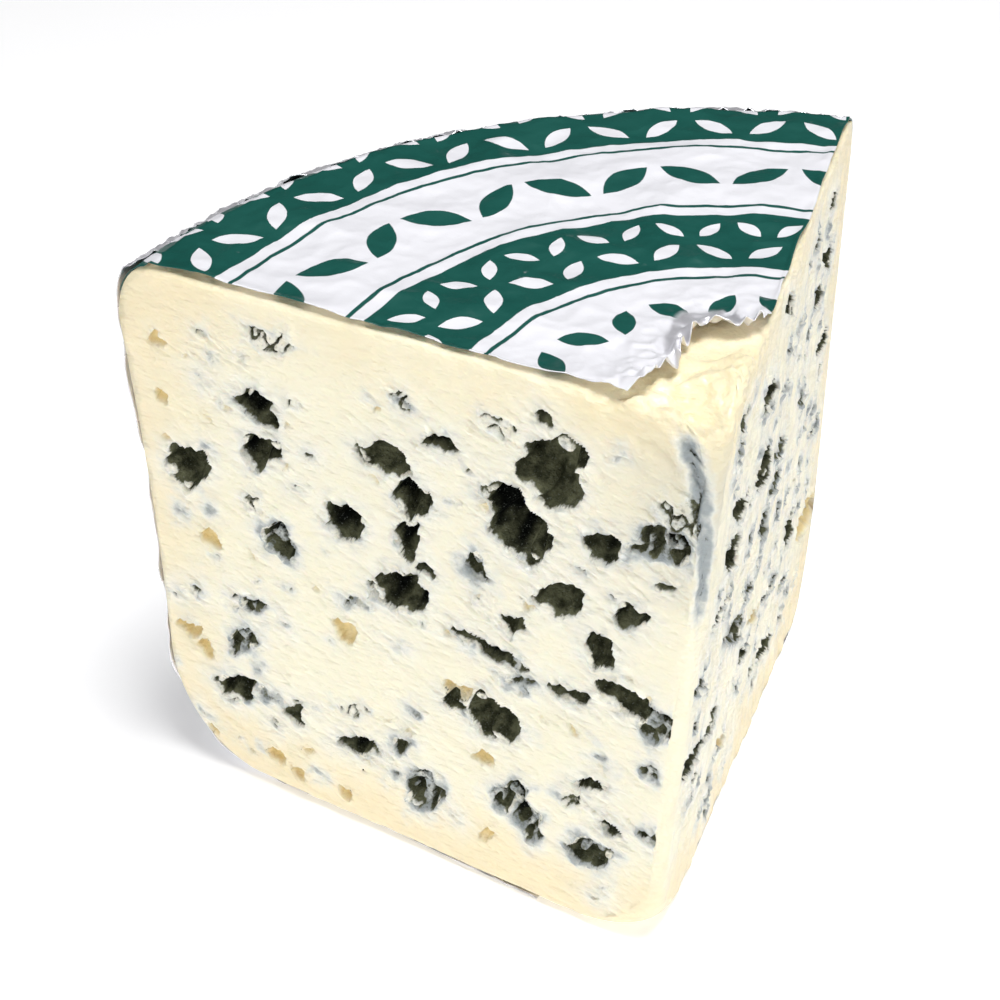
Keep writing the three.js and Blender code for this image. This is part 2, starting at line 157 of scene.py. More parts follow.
# Hollows on the left cut: kind, distance from the point, height, length, width, tilt in degrees
LEFT_HOLLOWS = [
    ("white", 0.0685, 0.0845, 0.0090, 0.0035, -5),
    ("olive", 0.0260, 0.0845, 0.0036, 0.0024, 0),
    ("white", 0.0800, 0.0825, 0.0035, 0.0020, -20),
    ("white", 0.0325, 0.0815, 0.0060, 0.0030, -5),
    ("white", 0.0475, 0.0810, 0.0040, 0.0030, -10),
    ("ochre", 0.0880, 0.0790, 0.0040, 0.0020, 20),
    ("white", 0.0780, 0.0790, 0.0025, 0.0020, -15),
    ("olive", 0.0240, 0.0765, 0.0115, 0.0105, 55),
    ("dark", 0.0410, 0.0760, 0.0060, 0.0024, 8),
    ("white", 0.0655, 0.0750, 0.0030, 0.0020, 5),
    ("white", 0.0365, 0.0730, 0.0025, 0.0020, -10),
    ("dark", 0.0710, 0.0725, 0.0080, 0.0050, -15),
    ("white", 0.0055, 0.0755, 0.0065, 0.0060, 0),
    ("grey", 0.0063, 0.0705, 0.0075, 0.0055, -25),
    ("olive", 0.0495, 0.0705, 0.0090, 0.0055, -15),
    ("ochre", 0.0875, 0.0695, 0.0035, 0.0020, 15),
    ("grey", 0.0090, 0.0688, 0.0065, 0.0022, 10),
    ("dark", 0.0155, 0.0675, 0.0065, 0.0055, 50),
    ("dark", 0.0285, 0.0665, 0.0145, 0.0085, -40),
    ("dark", 0.0705, 0.0650, 0.0075, 0.0055, 50),
    ("dark", 0.0450, 0.0650, 0.0070, 0.0055, -80),
    ("olive", 0.0060, 0.0640, 0.0034, 0.0016, 15),
    ("olive", 0.0835, 0.0580, 0.0085, 0.0075, 15),
    ("dark", 0.0455, 0.0580, 0.0065, 0.0040, -80),
    ("dark", 0.0560, 0.0575, 0.0075, 0.0060, 0),
    ("grey", 0.0345, 0.0575, 0.0050, 0.0040, -55),
    ("dark", 0.0105, 0.0575, 0.0055, 0.0045, 15),
    ("olive", 0.0210, 0.0565, 0.0085, 0.0060, 10),
    ("white", 0.0720, 0.0550, 0.0040, 0.0032, -15),
    ("dark", 0.0425, 0.0540, 0.0034, 0.0025, -35),
    ("dark", 0.0145, 0.0505, 0.0060, 0.0050, 80),
    ("grey", 0.0675, 0.0500, 0.0065, 0.0060, -35),
    ("olive", 0.0280, 0.0495, 0.0040, 0.0034, 45),
    ("dark", 0.0465, 0.0485, 0.0100, 0.0075, -10),
    ("ochre", 0.0795, 0.0460, 0.0040, 0.0028, -10),
    ("ochre", 0.0530, 0.0440, 0.0030, 0.0018, 5),
    ("dark", 0.0315, 0.0440, 0.0110, 0.0028, -15),
    ("olive", 0.0095, 0.0435, 0.0075, 0.0055, -10),
    ("dark", 0.0180, 0.0410, 0.0070, 0.0032, -5),
    ("grey", 0.0045, 0.0410, 0.0070, 0.0050, 65),
    ("grey", 0.0260, 0.0400, 0.0050, 0.0020, 30),
    ("ochre", 0.0555, 0.0375, 0.0046, 0.0044, -28),
    ("grey", 0.0725, 0.0360, 0.0045, 0.0030, 15),
    ("ochre", 0.0365, 0.0340, 0.0056, 0.0036, 0),
    ("grey", 0.0045, 0.0325, 0.0022, 0.0020, -30),
    ("olive", 0.0370, 0.0315, 0.0050, 0.0025, 10),
    ("olive", 0.0300, 0.0315, 0.0100, 0.0075, -5),
    ("grey", 0.0745, 0.0280, 0.0065, 0.0045, 50),
    ("ochre", 0.0845, 0.0265, 0.0050, 0.0042, 5),
    ("dark", 0.0135, 0.0260, 0.0060, 0.0024, 30),
    ("ochre", 0.0815, 0.0240, 0.0038, 0.0030, 0),
    ("ochre", 0.0310, 0.0235, 0.0034, 0.0028, 0),
    ("white", 0.0550, 0.0225, 0.0050, 0.0025, 5),
    ("white", 0.0160, 0.0220, 0.0035, 0.0027, 5),
    ("grey", 0.0025, 0.0205, 0.0035, 0.0030, 5),
    ("grey", 0.0455, 0.0195, 0.0045, 0.0030, 70),
    ("dark", 0.0095, 0.0195, 0.0045, 0.0026, -15),
    ("grey", 0.0700, 0.0190, 0.0046, 0.0020, 5),
    ("dark", 0.0760, 0.0180, 0.0090, 0.0050, 20),
    ("grey", 0.0260, 0.0180, 0.0080, 0.0055, 30),
    ("olive", 0.0650, 0.0170, 0.0040, 0.0035, -5),
    ("dark", 0.0530, 0.0160, 0.0095, 0.0035, 10),
    ("grey", 0.0225, 0.0145, 0.0065, 0.0045, -75),
    ("grey", 0.0125, 0.0135, 0.0090, 0.0050, 0),
    ("grey", 0.0410, 0.0120, 0.0090, 0.0070, 50),
    ("ochre", 0.0295, 0.0090, 0.0035, 0.0024, 60),
    ("ochre", 0.0810, 0.0065, 0.0030, 0.0026, -15),
    ("ochre", 0.0690, 0.0065, 0.0038, 0.0030, -35),
    ("ochre", 0.0645, 0.0050, 0.0032, 0.0028, -20),
    ("ochre", 0.0555, 0.0050, 0.0027, 0.0025, 0),
]

# Hollows on the right cut, in the same way
RIGHT_HOLLOWS = [
    ("olive", 0.0430, 0.0845, 0.0095, 0.0036, -30),
    ("olive", 0.0800, 0.0825, 0.0085, 0.0034, -20),
    ("grey", 0.0670, 0.0825, 0.0070, 0.0032, -40),
    ("dark", 0.0125, 0.0825, 0.0070, 0.0036, -25),
    ("grey", 0.0115, 0.0790, 0.0055, 0.0022, -50),
    ("dark", 0.0335, 0.0750, 0.0120, 0.0050, -25),
    ("dark", 0.0820, 0.0720, 0.0115, 0.0044, -25),
    ("grey", 0.0590, 0.0720, 0.0070, 0.0030, -5),
    ("dark", 0.0760, 0.0680, 0.0100, 0.0044, -25),
    ("grey", 0.0505, 0.0665, 0.0060, 0.0028, -30),
    ("dark", 0.0190, 0.0655, 0.0125, 0.0038, -30),
    ("dark", 0.0385, 0.0600, 0.0165, 0.0072, -25),
    ("olive", 0.0195, 0.0580, 0.0165, 0.0056, -40),
    ("olive", 0.0860, 0.0545, 0.0100, 0.0046, -25),
    ("grey", 0.0695, 0.0540, 0.0075, 0.0044, -30),
    ("grey", 0.0535, 0.0540, 0.0085, 0.0042, -30),
    ("dark", 0.0155, 0.0515, 0.0115, 0.0030, -10),
    ("grey", 0.0510, 0.0490, 0.0090, 0.0048, -5),
    ("olive", 0.0865, 0.0485, 0.0060, 0.0024, -30),
    ("grey", 0.0055, 0.0460, 0.0095, 0.0034, -15),
    ("grey", 0.0460, 0.0450, 0.0105, 0.0056, -30),
    ("grey", 0.0445, 0.0400, 0.0065, 0.0034, -20),
    ("grey", 0.0585, 0.0395, 0.0045, 0.0036, -35),
    ("grey", 0.0390, 0.0380, 0.0085, 0.0030, -20),
    ("grey", 0.0875, 0.0375, 0.0085, 0.0038, -15),
    ("grey", 0.0305, 0.0365, 0.0165, 0.0046, -30),
    ("dark", 0.0075, 0.0305, 0.0140, 0.0050, -25),
    ("ochre", 0.0465, 0.0275, 0.0090, 0.0030, -25),
    ("dark", 0.0210, 0.0270, 0.0105, 0.0052, -20),
    ("olive", 0.0730, 0.0255, 0.0110, 0.0054, -30),
    ("dark", 0.0405, 0.0245, 0.0095, 0.0028, -30),
    ("grey", 0.0610, 0.0235, 0.0090, 0.0032, -20),
    ("ochre", 0.0890, 0.0185, 0.0165, 0.0080, -20),
    ("grey", 0.0725, 0.0160, 0.0080, 0.0026, -15),
    ("ochre", 0.0315, 0.0145, 0.0090, 0.0028, -30),
    ("olive", 0.0610, 0.0110, 0.0125, 0.0044, -30),
]

# Small pits between the larger hollows of a cut
PITS = 150
LEFT_PIT = 0.0020
LEFT_PIT_KINDS = ("ochre", "white", "grey", "ochre", "dark", "white")
RIGHT_PIT = 0.0036
RIGHT_PIT_KINDS = ("grey", "dark", "white", "grey")

# The mouldy groove down the upper point: height, and place along the left cut from the point's line
GROOVE = [
    (0.0520, -0.0022),
    (0.0640, -0.0005),
    (0.0720, 0.0007),
    (0.0793, 0.0024),
    (0.0835, 0.0036),
    (0.0890, 0.0056),
]
GROOVE_DEEP = 0.0011
GROOVE_HALO = 0.0026
GROOVE_CORE = 0.0013

# Crumbs and bites of the broken top: x, y, half sizes along both, and height, below nought for a bite
TOP_LUMPS = [
    (0.0040, 0.0105, 0.0042, 0.0040, 0.0020),
    (0.0065, 0.0145, 0.0022, 0.0026, 0.0016),
    (-0.0035, 0.0070, 0.0028, 0.0060, -0.0022),
    (-0.0125, 0.0140, 0.0030, 0.0030, -0.0012),
]

# The print: rings about the wheel's axis, green where the ground is green and white between them
PRINT_CENTRE = (0, 0)
OUTER_GREEN_FROM = 0.0800
INNER_GREEN_LOW = 0.0400
INNER_GREEN_HIGH = 0.0560
LINE_RINGS = (0.0375, 0.0585, 0.0775)
LINE_HALF = 0.00035

# Rows of leaves round the rings: radius, pitch in degrees, length, width, tilt in degrees
LEAF_ROWS = [
    (0.0290, 14.0, 0.0070, 0.0032, 35),
    (0.0448, 9.0, 0.0062, 0.0026, 48),
    (0.0515, 6.4, 0.0052, 0.0022, 40),
    (0.0680, 8.6, 0.0105, 0.0042, 52),
    (0.0846, 5.6, 0.0074, 0.0029, 48),
    (0.0920, 4.4, 0.0060, 0.0025, 40),
]

# Where the printed foil is torn across the point: x, y on the wheel's axis frame
TEAR_LINE = [
    (-0.030, 0.0150),
    (-0.0165, 0.0146),
    (-0.0110, 0.0128),
    (-0.0060, 0.0140),
    (-0.0010, 0.0172),
    (0.0030, 0.0215),
    (0.0080, 0.0200),
    (0.0130, 0.0193),
    (0.030, 0.0200),
]

# Colours of the paste, its mould and the foils, with the painted shade and the painted glints of the hollows
PASTE = (0.955, 0.900, 0.700, 1)
PASTE_WARM = (0.940, 0.815, 0.560, 1)
PASTE_WHITE = (0.945, 0.920, 0.800, 1)
BUTTER = (0.930, 0.800, 0.500, 1)
TIP_GREY = (0.640, 0.610, 0.480, 1)
OCHRE = (0.840, 0.680, 0.330, 1)
HALO_PALE = (0.800, 0.815, 0.760, 1)
HALO_GREY = (0.330, 0.370, 0.385, 1)
MOULD_DARK = (0.040, 0.043, 0.023, 1)
MOULD_LIGHT = (0.150, 0.155, 0.090, 1)
# Near-black painted shade for the upper insides of the hollows
PAINTED_SHADE_BLACK = (0.0025, 0.0035, 0.0025, 1)
# Pale specks painted as glints on the mould
PAINTED_GLINT = (0.260, 0.285, 0.250, 1)
PRINT_GREEN = (0.0045, 0.0700, 0.0560, 1)
PRINT_GREEN_PALE = (0.0120, 0.1050, 0.0850, 1)
PRINT_WHITE = (0.820, 0.818, 0.860, 1)
SILVER = (0.880, 0.875, 0.920, 1)

# Lamps of the studio: name, place and power
LAMPS = [
    ("key", (0.05, -0.15, 0.9), 7.0),
    ("fill", (-0.8, -0.5, 0.35), 3.4),
    ("side", (0.7, -0.9, 0.5), 3.7),
]
LAMP_SIZE = 0.35
LAMP_AIM = (0, 0, 0.045)
FLOOR_HALF = 3.0

# The camera, from the fitted photograph
CAMERA_AT = (-0.1234, -0.1999, 0.2459)
CAMERA_YAW = math.radians(23.96)
CAMERA_PITCH = math.radians(35.35)
CAMERA_LENS = 80.2
SENSOR = 36.0


def lerp(a, b, t):
    return a + (b - a) * t


def smooth(low, high, x):
    """Nought below low, one above high, and an even S between them."""
    t = np.clip((x - low) / (high - low), 0, 1)
    return t * t * (3 - 2 * t)


def waves(x, y, pitch, seed):
    """Even noise from about -1 to 1: slopes drawn at the corners of square cells are blended inside each."""
    size = 64
    turns = np.random.default_rng(seed).uniform(0, TAU, (size, size))
    slope_x = np.cos(turns)
    slope_y = np.sin(turns)
    x = x / pitch + 1000.5
    y = y / pitch + 1000.5
    i = np.floor(x).astype(int)
    j = np.floor(y).astype(int)
    fx = x - i
    fy = y - j

    def corner(a, b):
        ci = (i + a) % size
        cj = (j + b) % size
        return slope_x[ci, cj] * (fx - a) + slope_y[ci, cj] * (fy - b)

    ease_x = fx**3 * (fx * (fx * 6 - 15) + 10)
    ease_y = fy**3 * (fy * (fy * 6 - 15) + 10)
    low = lerp(corner(0, 0), corner(1, 0), ease_x)
    high = lerp(corner(0, 1), corner(1, 1), ease_x)
    return 1.5 * lerp(low, high, ease_y)


def creases(x, y, pitch, seed):
    """Sharp folds from 0 to 1: one less the size of even noise, so each nought of the noise is a ridge."""
    return 1 - np.clip(np.abs(waves(x, y, pitch, seed)) * 1.6, 0, 1)


def ellipse(x, y, long, wide, tilt):
    """Place in an ellipse: along its length and its width, both 1 at its outline."""
    cos = math.cos(tilt)
    sin = math.sin(tilt)
    return (x * cos + y * sin) / (long / 2), (y * cos - x * sin) / (wide / 2)


def rind_radius(z):
    """The wheel's radius at a height: a quarter ellipse at each shoulder and a slow curve between them."""
    wall_top = HEIGHT - TOP_SHOULDER_DOWN
    low = np.clip(z / BASE_SHOULDER_UP, 0, 1)
    wall = np.clip((z - BASE_SHOULDER_UP) / (wall_top - BASE_SHOULDER_UP), 0, 1)
    high = np.clip((z - wall_top) / TOP_SHOULDER_DOWN, 0, 1)
    radius = lerp(WAIST_RADIUS, RIM_RADIUS, wall**2)
    radius = radius - BASE_SHOULDER_INWARD * (1 - np.sqrt(1 - (1 - low) ** 2))
    return radius - TOP_SHOULDER_INWARD * (1 - np.sqrt(1 - high**2))


def point_at(z):
    """The leaning line that both cuts meet on."""
    t = z / HEIGHT
    return lerp(POINT_AT_BASE[0], POINT_AT_TOP[0], t), lerp(POINT_AT_BASE[1], POINT_AT_TOP[1], t)


def point_back(z):
    """How far the worn point stands back: a quarter ellipse at its foot and one at its head."""
    low = np.clip(1 - z / POINT_WORN_BASE_UP, 0, 1)
    high = np.clip(1 - (HEIGHT - z) / POINT_WORN_TOP_DOWN, 0, 1)
    back_low = POINT_WORN_BASE_BACK * (1 - np.sqrt(1 - low**2))
    back_high = POINT_WORN_TOP_BACK * (1 - np.sqrt(1 - high**2))
    return POINT_ROUND + back_low + back_high


def cut_line(side, z):
    """At a height: the point, the direction along a cut, the cut's reach and its outward direction."""
    r = rind_radius(z)
    px, py = point_at(z)
    dx = side * r * math.sin(HALF_ANGLE) - px
    dy = r * math.cos(HALF_ANGLE) - py
    reach = np.hypot(dx, dy)
    dx = dx / reach
    dy = dy / reach
    return px, py, dx, dy, reach, side * dy, -side * dx


def pit_rows(seed, largest, kinds):
    """Small pits, drawn evenly over a cut clear of its rind."""
    rng = np.random.default_rng(seed)
    rows = []
    for k in range(PITS):
        size = rng.uniform(0.5 * MM, largest)
        along = rng.uniform(6, 88) * MM
        up = rng.uniform(5, 84) * MM
        width = size * rng.uniform(0.4, 0.8)
        rows.append((kinds[k % len(kinds)], along, up, size, width, rng.uniform(-60, 20)))
    return rows


def flap_count(kind, long):
    """How many flaps of paste reach into a hollow: none into small or dry ones."""
    if kind in ("ochre", "white"):
        return 0
    for limit, count in FLAPS_UNDER:
        if long < limit:
            return count
    return FLAPS_MOST


def add_flaps(rng, kind, long, wide, a, b, inside, blotches, deep, dim):
    """Curled flaps of paste that reach in from the rim, at its upper left and along its foot.

    A flap is an ellipse that lies along the rim. Its middle stays near the cut, and its edge drops by
    up to FLAP_DROP. Gives the new depth, the painted shade, which the flaps clear, and where the flaps are.
    """
    on_flap = np.zeros_like(inside)
    for n in range(flap_count(kind, long)):
        where = math.radians(rng.uniform(100, 200) if n % 2 == 0 else rng.uniform(210, 390))
        size = rng.uniform(FLAP_SMALLEST, FLAP_LARGEST) / math.sqrt(long * wide)
        turn = where + math.pi / 2 + rng.uniform(-0.5, 0.5)
        flap_x = a - FLAP_PLACE * math.cos(where)
        flap_y = b - FLAP_PLACE * math.sin(where)
        p, q = ellipse(flap_x, flap_y, FLAP_LONG * size, FLAP_WIDE * size, turn)
        span = np.hypot(p, q) * (1 + 0.18 * blotches)
        here = inside & (span < 1)
        curl = FLAP_DROP * (0.10 + 0.90 * smooth(0.55, 1.0, span))
        deep = np.where(here, np.minimum(deep, curl), deep)
        dim = np.where(here, 0, dim)
        on_flap = on_flap | here
    return deep, dim, on_flap


def hollow_outline(dx, dy, long, wide, tilt, phases):
    """Place in a hollow's uneven outline.

    Gives the place along its length and its width, the share of the way out to the rim, and the
    distance outside the rim, which is below nought inside.
    """
    a, b = ellipse(dx, dy, long, wide, math.radians(tilt))
    turn = np.arctan2(b, a)
    rim = 1
    for (count, size), phase in zip(RIM_WAVES, phases):
        rim = rim + size * np.sin(count * turn + phase)
    rho = np.hypot(a, b) / rim
    growth = np.hypot(a / long, b / wide) * 2 / np.maximum(np.hypot(a, b), 0.01)
    outside = (rho - 1) * rim / np.maximum(growth, 2 / long)
    return a, b, rho, outside


def carve(side, along, up, rows, pitch, seed):
    """Sinks the hollows into a cut.

    Each hollow is an ellipse whose outline is made uneven by waves round it and by noise over the cut.
    Inside, a straight steep wall leads down to a rounded floor: depth = min(floor * sqrt(1 - rho ** 3),
    slope * distance inward). All of it leans up as it goes in, so that the upper rim hangs over and the
    lower wall shows. Flaps of paste reach in from the larger rims. Outside, the halo falls off with the
    distance from the rim. Last, fine noise makes every rim ragged. Gives the named values of CUT_VALUES.
    """
    x = side * along
    y = up
    bend = BEND_LEFT if side < 0 else BEND_RIGHT
    bend_x = bend * waves(x, y, 0.0028, seed)
    bend_y = bend * waves(x, y, 0.0028, seed + 2)
    lumps = 0.00085 * waves(x, y, 0.0026, seed + 4) + 0.00012 * waves(x, y, 0.0008, seed + 5)
    patches = smooth(-0.25, 0.20, waves(x, y, 0.0017, seed + 6))
    spread = smooth(-0.6, 0.6, waves(x, y, 0.0045, seed + 13))
    lines = smooth(0.72, 0.92, creases(x, y, 0.0022, seed + 11))
    blotches = waves(x, y, 0.0022, seed + 14)
    out = {name: np.zeros_like(x) for name in CUT_VALUES}
    for k, (kind, centre, height, long, wide, tilt) in enumerate(rows):
        look = dict(zip(KIND_VALUES, KINDS[kind]))
        rng = np.random.default_rng(seed + 20 + k)
        phases = rng.uniform(0, TAU, len(RIM_WAVES))
        middle = side * centre
        reach = 0.62 * long + 6 * look["reach"]
        near = (np.abs(x - middle) < reach) & (np.abs(y - height) < reach)
        if not near.any():
            continue
        core = np.hypot(x[near] - middle, y[near] - height) < 0.5 * long
        dx = x[near] - middle + bend_x[near] - bend_x[near][core].mean()
        dy = y[near] - height + bend_y[near] - bend_y[near][core].mean()
        a, b, rho, outside = hollow_outline(dx, dy, long, wide, tilt, phases)

        # A vertex close to the rim moves onto it, so that the mouth has a clean edge
        on_rim = np.abs(outside) < 0.5 * pitch
        snap = np.where(on_rim, 1 / np.maximum(rho, 0.05) - 1, 0)
        shift_x = dx * snap
        shift_y = dy * snap
        inward = np.where(on_rim, 0, np.maximum(-outside, 0))
        inside = inward > 0

        most = min(look["most"], wide * look["share"], DEEPEST_BY_POINT * centre)
        bowl = np.sqrt(np.clip(1 - rho**3, 0, 1))
        floor_deep = most + lumps[near] * min(1, most / 0.002)
        deep = np.minimum(floor_deep * bowl, WALL_SLOPE * inward)
        mould = np.full_like(deep, look["mould"])
        if kind == "grey":
            deep = deep * lerp(0.35, 1, patches[near])
            mould = mould * lerp(0.45, 1, patches[near])
        if kind == "white":
            deep = deep * lerp(0.10, 1, lines[near])
        # Painted shade: the upper part of a deep hollow is blackened, as if shaded by its overhanging rim;
        # blotches break its edge
        shade = dy / (0.5 * long) + look["shade"] + 0.55 * blotches[near]
        dim = smooth(-0.25, 0.35, shade) * smooth(0.0005, 0.0016, deep)

        deep, dim, on_flap = add_flaps(rng, kind, long, wide, a, b, inside, blotches[near], deep, dim)
        deep = np.where(inside, deep, 0)

        # The lower left wall keeps a strip of bare paste
        bare_wall = smooth(-0.30, -0.90, (dy + 0.45 * dx) / (0.5 * long)) * smooth(-0.5, 0.3, blotches[near])
        cover = np.maximum(deep - look["bare"] * bare_wall, 0)

        shift_y = shift_y + LEAN_UP * deep
        fall = look["reach"] * lerp(0.4, 1.9, spread[near])
        halo = look["halo"] * np.exp(-np.maximum(outside, 0) / fall)
        halo = np.where(on_flap, 0.5, halo)
        veil = look["mould"] * np.exp(-np.maximum(outside, 0) / VEIL_REACH)
        ochre = look["ochre"] * np.exp(-np.maximum(outside, 0) / OCHRE_REACH)
        lip = np.where(inside, 0, np.exp(-np.maximum(outside, 0) / LIP_REACH))
        ragged = np.exp(-((outside / RAGGED_REACH) ** 2)) * min(1, long / 0.004)

        # Mould reaches past the rim, where there is no depth for it to show in
        take = (inside & (deep >= out["deep"][near])) | (on_rim & (out["deep"][near] == 0))
        spare = take | ((outside < MOULD_REACH) & (out["deep"][near] == 0))
        values = {"shift_x": shift_x, "shift_y": shift_y, "deep": deep, "cover": cover, "dim": dim}
        for name, value in values.items():
            out[name][near] = np.where(take, value, out[name][near])
        out["mould"][near] = np.where(spare, mould, out["mould"][near])
        kept = (outside < KEPT_REACH) & (long > KEPT_FROM)
        around = {"halo": halo, "veil": veil, "ochre": ochre, "lip": lip, "ragged": ragged, "kept": kept}
        for name, value in around.items():
            out[name][near] = np.maximum(out[name][near], value)
    torn = RAGGED_LEFT if side < 0 else RAGGED_RIGHT
    out["shift_x"] = out["shift_x"] + torn * out["ragged"] * waves(x, y, 0.0009, seed + 1)
    out["shift_y"] = out["shift_y"] + torn * out["ragged"] * waves(x, y, 0.0009, seed + 3)
    return out


def groove_at(along, level, half_width):
    """A band about the groove's line, from 0 to 1; the line leans across the point and wavers a little."""
    heights, places = np.array(GROOVE).T
    off = along - np.interp(level, heights, places) - 0.0006 * waves(level, level * 0, 0.005, 33)
    ends = smooth(0.052, 0.064, level) * smooth(0.0925, 0.0865, level)
    return np.exp(-((off / half_width) ** 2)) * ends


def add_groove(out, along, level):
    """Sinks the groove, greys it, puts grains of mould along its middle and blackens them with painted shade,
    and marks the paste near the upper point to be greyer.
    """
    groove = groove_at(along, level, GROOVE_HALO)
    core = groove_at(along, level, GROOVE_CORE)
    grains = waves(along, level, 0.0010, 34) + 0.7 * waves(along * 1.3, level, 0.0035, 35)
    out["halo"] = np.maximum(out["halo"], 1.15 * groove)
    out["mould"] = np.maximum(out["mould"], 0.6 * core * smooth(-0.15, 0.45, grains))
    # Painted shade in the groove's sunk core, broken into grains
    out["dim"] = np.maximum(out["dim"], core * smooth(0.1, 0.5, grains))
    # Greyer, darker beige paste near the upper point
    out["worn"] = np.exp(-((along / 0.012) ** 2)) * smooth(0.056, 0.074, level)
    out["deep"] = out["deep"] + GROOVE_DEEP * core
    out["cover"] = np.maximum(out["cover"], GROOVE_DEEP * core)


def cut_part(side, columns, z, seed, rows):
    """One cut's vertices, rows up and columns from the rind to the point: x, y, z and the named values.

    A vertex stands at point + direction * along + outward * (relief - depth), on the leaning line's level z.
    """
    share = np.linspace(1, 0, columns, endpoint=False)[None, :]
    level = np.repeat(z[:, None], columns, axis=1)
    _, _, _, _, reach, _, _ = cut_line(side, level)
    along = lerp(point_back(level), reach, share)
    pitch = HEIGHT / WALL_ROWS
    out = carve(side, along, level, rows, pitch, seed)
    if side < 0:
        add_groove(out, along, level)

    # Knife drag: long streaks that run down towards the point on the left, nearly upright on the right
    lean = math.radians(-28) if side < 0 else math.radians(-80)
    run = -along * math.cos(lean) + level * math.sin(lean)
    over = along * math.sin(lean) + level * math.cos(lean)
    streaks = waves(run, over * 5, 0.008, seed + 7)
    fine_streaks = waves(run, over * 6, 0.0035, seed + 12)
    swell = waves(along, level, 0.022, seed + 8)
    grain = waves(along, level, 0.0035, seed + 9)
    near_mould = np.clip(out["veil"] * 1.2 + out["worn"], 0, 1)
    strength = 0.00010 + 0.00022 * near_mould if side < 0 else 0.00036
    raised = 0.00022 * swell + strength * (streaks + 0.7 * fine_streaks) + 0.00006 * grain
    raised = raised + 0.00038 * out["lip"] * (0.5 + fine_streaks)
    raised = raised * smooth(0, 0.004, reach - along)

    along = along + side * out["shift_x"]
    level = level + out["shift_y"]
    px, py, dx, dy, _, nx, ny = cut_line(side, np.clip(level, 0, HEIGHT))
    push = raised - out["deep"]
    x = px + dx * along + nx * push
    y = py + dy * along + ny * push
    if side > 0:
        x, y, level = x[:, ::-1], y[:, ::-1], level[:, ::-1]
        out = {name: value[:, ::-1] for name, value in out.items()}
    return x, y, level, out


def point_part(z):
    """The rounded point: a curve from one cut to the other that bends towards the leaning line."""
    t = (np.arange(POINT_COLUMNS) / POINT_COLUMNS)[None, :]
    level = np.repeat(z[:, None], POINT_COLUMNS, axis=1)
    back = point_back(level)
    px, py, lx, ly, _, _, _ = cut_line(-1, level)
    _, _, rx, ry, _, _, _ = cut_line(1, level)
    from_x, from_y = px + lx * back, py + ly * back
    to_x, to_y = px + rx * back, py + ry * back
    middle_x = lerp(px, (from_x + to_x) / 2, 0.25)
    middle_y = lerp(py, (from_y + to_y) / 2, 0.25)
    x = (1 - t) ** 2 * from_x + 2 * t * (1 - t) * middle_x + t**2 * to_x
    y = (1 - t) ** 2 * from_y + 2 * t * (1 - t) * middle_y + t**2 * to_y
    out = {name: np.zeros_like(x) for name in CUT_VALUES}
    add_groove(out, back * (1 - 2 * t), level)
    return x, y + out["deep"], level, out


def rind_part(z):
    """The rind, hidden under the foil: the wheel's own round side."""
    angle = (HALF_ANGLE - 2 * HALF_ANGLE * np.arange(RIND_COLUMNS) / RIND_COLUMNS)[None, :]
    level = np.repeat(z[:, None], RIND_COLUMNS, axis=1)
    r = rind_radius(level)
    out = {name: np.zeros_like(level) for name in CUT_VALUES}
    return r * np.sin(angle), r * np.cos(angle), level, out


def broken_top(x, y):
    """How far the bare top at the point stands above or below the flat top of the wheel."""
    bare = smooth(0.021, 0.012, y)
    lumps = 0
    for middle_x, middle_y, half_x, half_y, high in TOP_LUMPS:
        lumps = lumps + high * np.exp(-(((x - middle_x) / half_x) ** 2) - ((y - middle_y) / half_y) ** 2)
    buttery = 0.0007 * (1 - 2 * creases(x, y, 0.0042, 41))
    rough = buttery + 0.0005 * waves(x, y, 0.0026, 43) + 0.0003 * waves(x, y, 0.0012, 42)
    return bare * (lumps + rough)


